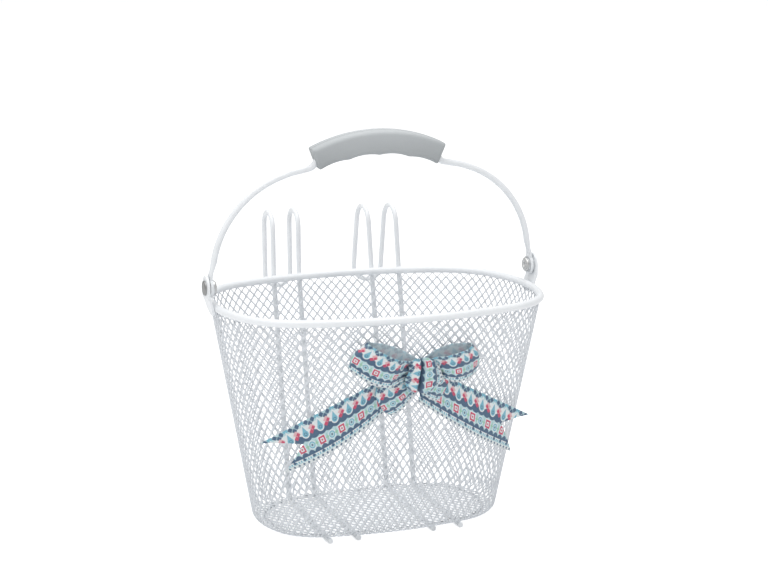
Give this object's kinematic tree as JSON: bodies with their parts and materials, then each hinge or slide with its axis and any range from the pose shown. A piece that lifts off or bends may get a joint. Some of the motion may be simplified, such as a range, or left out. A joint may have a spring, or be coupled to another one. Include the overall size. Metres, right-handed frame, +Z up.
{
  "type": "bicycle handlebar basket",
  "caption": "Oval tapered wire mesh basket with a swinging grip handle, rear hooks that hang over a handlebar, and a ribbon bow on the front.",
  "frame": {"origin": "on the ground under the middle of the whole basket, hooks and bow included", "axes": "+Z up, -Y the front with the bow, +Y the hooks and the handlebar, +X across the basket"},
  "size_m": [0.2784, 0.244, 0.3171],
  "materials": {
    "white_coat": "satin white powder coat",
    "steel": "dull zinc",
    "grip": "fine matte",
    "ribbon": "printed woven ribbon"
  },
  "bodies": {
    "basket": {"rim_wire": "white_coat", "mesh_wall": "white_coat", "mesh_base": "white_coat", "hook_wire_left": "white_coat", "hook_wire_right": "white_coat", "bracket_left": "white_coat", "bracket_right": "white_coat", "rivet_left": "steel", "rivet_right": "steel", "washer_outer_left": "steel", "washer_outer_right": "steel", "washer_inner_left": "steel", "washer_inner_right": "steel", "bow_knot": "ribbon", "bow_loop_left": "ribbon", "bow_loop_right": "ribbon", "bow_tail_left": "ribbon", "bow_tail_right": "ribbon"},
    "handle": {"handle_wire": "white_coat", "grip_front_half": "grip", "grip_rear_half": "grip"}
  },
  "joints": [
    {"name": "handle_swing", "type": "hinge", "parent": "basket", "child": "handle", "pos_m": [0, -0.00952, 0.19965], "axis": [1, 0, 0], "range_deg": [-73, 86]}
  ]
}
